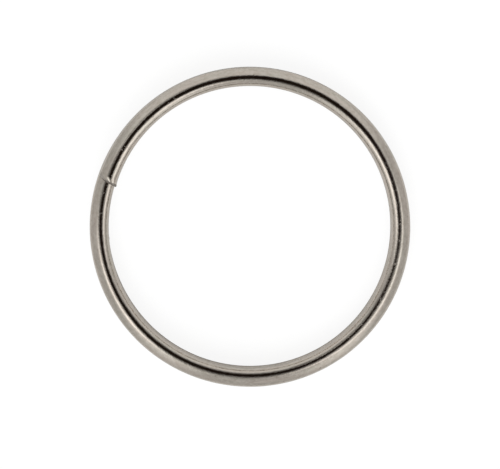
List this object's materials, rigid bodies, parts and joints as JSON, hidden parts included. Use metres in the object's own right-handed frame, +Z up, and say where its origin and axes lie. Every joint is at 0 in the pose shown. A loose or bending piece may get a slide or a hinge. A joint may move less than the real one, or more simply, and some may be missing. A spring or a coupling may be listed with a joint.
{
  "type": "split ring",
  "caption": "Split ring: a close coil of round wire with sheared ends, whose turns part to let a key, tag or hook be threaded on and then hold it captive.",
  "frame": {"origin": "on the ground, under the middle of the ring", "axes": "+Z up, along the ring's axis to within about 2 degrees as it lies at rest; the upper end of the wire stops at 162.5 degrees from +X, anticlockwise seen from above"},
  "size_m": [0.0321, 0.0321, 0.0055],
  "materials": {
    "plated_wire": "bright nickel plate over spring steel wire, warm grey, with fine drawing lines along the wire"
  },
  "bodies": {
    "root": {"split_ring": "plated_wire"}
  },
  "joints": []
}
